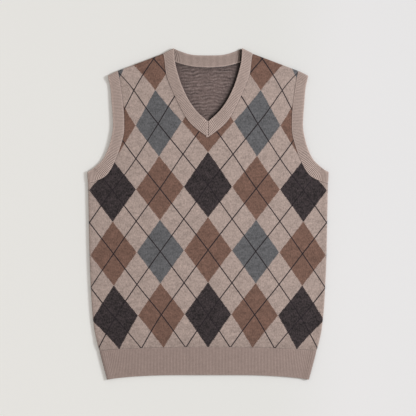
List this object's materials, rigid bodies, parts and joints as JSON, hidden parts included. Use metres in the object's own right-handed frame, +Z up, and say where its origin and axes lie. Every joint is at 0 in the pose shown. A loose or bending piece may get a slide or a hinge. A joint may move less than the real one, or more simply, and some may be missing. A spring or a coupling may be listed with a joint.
{
  "type": "knitted sweater vest",
  "caption": "Sleeveless V-neck pullover in argyle knit with ribbed neck, armholes and hem, laid flat with its front on top.",
  "frame": {"origin": "under the middle of the vest as it lies flat, on the surface it rests on", "axes": "+Z up from the surface to the front of the vest, +Y from the hem to the neck, +X towards the wearer's left"},
  "size_m": [0.5016, 0.689, 0.0093],
  "materials": {
    "argyle_knit": "fine-gauge wool jacquard: heathered taupe ground with brown, blue-grey and charcoal diamonds and thin near-black rakers, matt with a soft nap",
    "rib_knit": "fine 1 by 1 rib in heathered taupe wool, matt"
  },
  "bodies": {
    "root": {"front_panel": "argyle_knit", "back_panel": "argyle_knit", "hem_band_front": "rib_knit", "hem_band_back": "rib_knit", "neckband": "rib_knit", "armhole_band_left": "rib_knit", "armhole_band_right": "rib_knit"}
  },
  "joints": []
}
